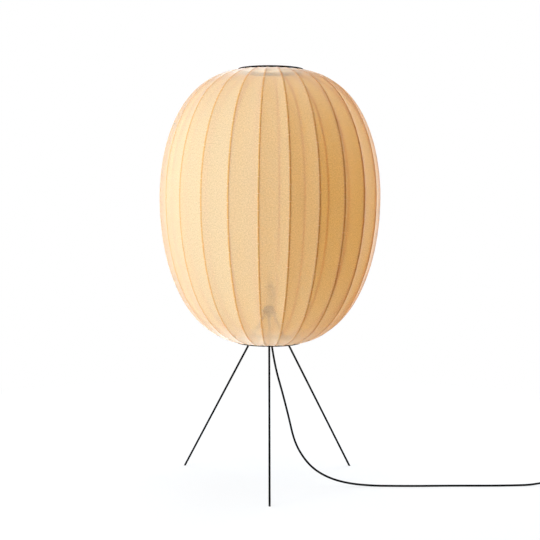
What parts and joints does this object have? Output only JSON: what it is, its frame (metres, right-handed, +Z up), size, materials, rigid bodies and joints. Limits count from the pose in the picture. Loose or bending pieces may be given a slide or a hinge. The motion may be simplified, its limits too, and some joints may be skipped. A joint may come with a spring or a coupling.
{
  "type": "knitted shade floor lamp",
  "caption": "Floor lamp with a tall rounded knitted shade stretched over bowed ribs between two rings, on slim splayed rod legs, with cord, foot switch and plug.",
  "frame": {"origin": "on the floor under the axis of the lamp", "axes": "+Z up along the axis of the lamp, -Y to the front, where one leg points, and +X to the right, where the cord runs"},
  "size_m": [1.3689, 0.647, 1.218],
  "materials": {
    "black_steel": "satin black powder coat",
    "plated_steel": "zinc plated",
    "rib_rod": "pale coated spring wire",
    "rib_cap": "moulded black",
    "knit": "fine warm cream knit, sheer",
    "black_rubber": "matt black rubber",
    "cord_sheath": "smooth black sheath",
    "tie_strap": "woven black strap",
    "holder_white": "off-white moulded plastic",
    "ceramic": "unglazed white ceramic",
    "brass": "bare brass",
    "bulb_metal": "nickel plated",
    "clear_glass": "clear",
    "filament": "amber phosphor",
    "switch_black": "fine moulded texture",
    "pedal_black": "satin moulded",
    "pin_nickel": "nickel plated brass"
  },
  "bodies": {
    "lamp": {"hub": "black_steel", "leg_front": "black_steel", "leg_right": "black_steel", "leg_left": "black_steel", "top_ring": "black_steel", "bottom_ring": "black_steel", "ring_brackets": "black_steel", "nipple": "plated_steel", "bracket_screws": "plated_steel", "terminal_screws": "plated_steel", "switch_spring": "plated_steel", "rib_01": "rib_rod", "rib_02": "rib_rod", "rib_03": "rib_rod", "rib_04": "rib_rod", "rib_05": "rib_rod", "rib_06": "rib_rod", "rib_07": "rib_rod", "rib_08": "rib_rod", "rib_09": "rib_rod", "rib_10": "rib_rod", "rib_11": "rib_rod", "rib_12": "rib_rod", "rib_13": "rib_rod", "rib_14": "rib_rod", "rib_15": "rib_rod", "rib_16": "rib_rod", "rib_17": "rib_rod", "rib_18": "rib_rod", "rib_19": "rib_rod", "rib_20": "rib_rod", "rib_21": "rib_rod", "rib_22": "rib_rod", "rib_23": "rib_rod", "rib_24": "rib_rod", "rib_caps": "rib_cap", "shade_knit": "knit", "foot_tips": "black_rubber", "cord_grip": "black_rubber", "switch_boots": "black_rubber", "plug_boot": "black_rubber", "cord_drop": "cord_sheath", "cord_link": "cord_sheath", "cord_tail": "cord_sheath", "cord_coil": "cord_sheath", "coil_tie": "tie_strap", "holder_cap": "holder_white", "holder_shell": "holder_white", "holder_insert": "ceramic", "thread_liner": "brass", "centre_contact": "brass", "switch_base": "switch_black", "switch_cover": "switch_black", "plug_body": "switch_black", "plug_pins": "pin_nickel"},
    "bulb": {"bulb_cap": "bulb_metal", "bulb_glass": "clear_glass", "bulb_stem": "clear_glass", "bulb_filaments": "filament"},
    "pedal": {"switch_pedal": "pedal_black"}
  },
  "joints": [
    {"name": "bulb_lift", "type": "slide", "parent": "lamp", "child": "bulb", "axis": [0, 0, 1], "range_m": [0, 0.69]},
    {"name": "pedal_press", "type": "slide", "parent": "lamp", "child": "pedal", "axis": [0, 0, -1], "range_m": [0, 0.003], "stiffness_N_per_m": 1500, "deforming": ["switch_spring"]}
  ]
}
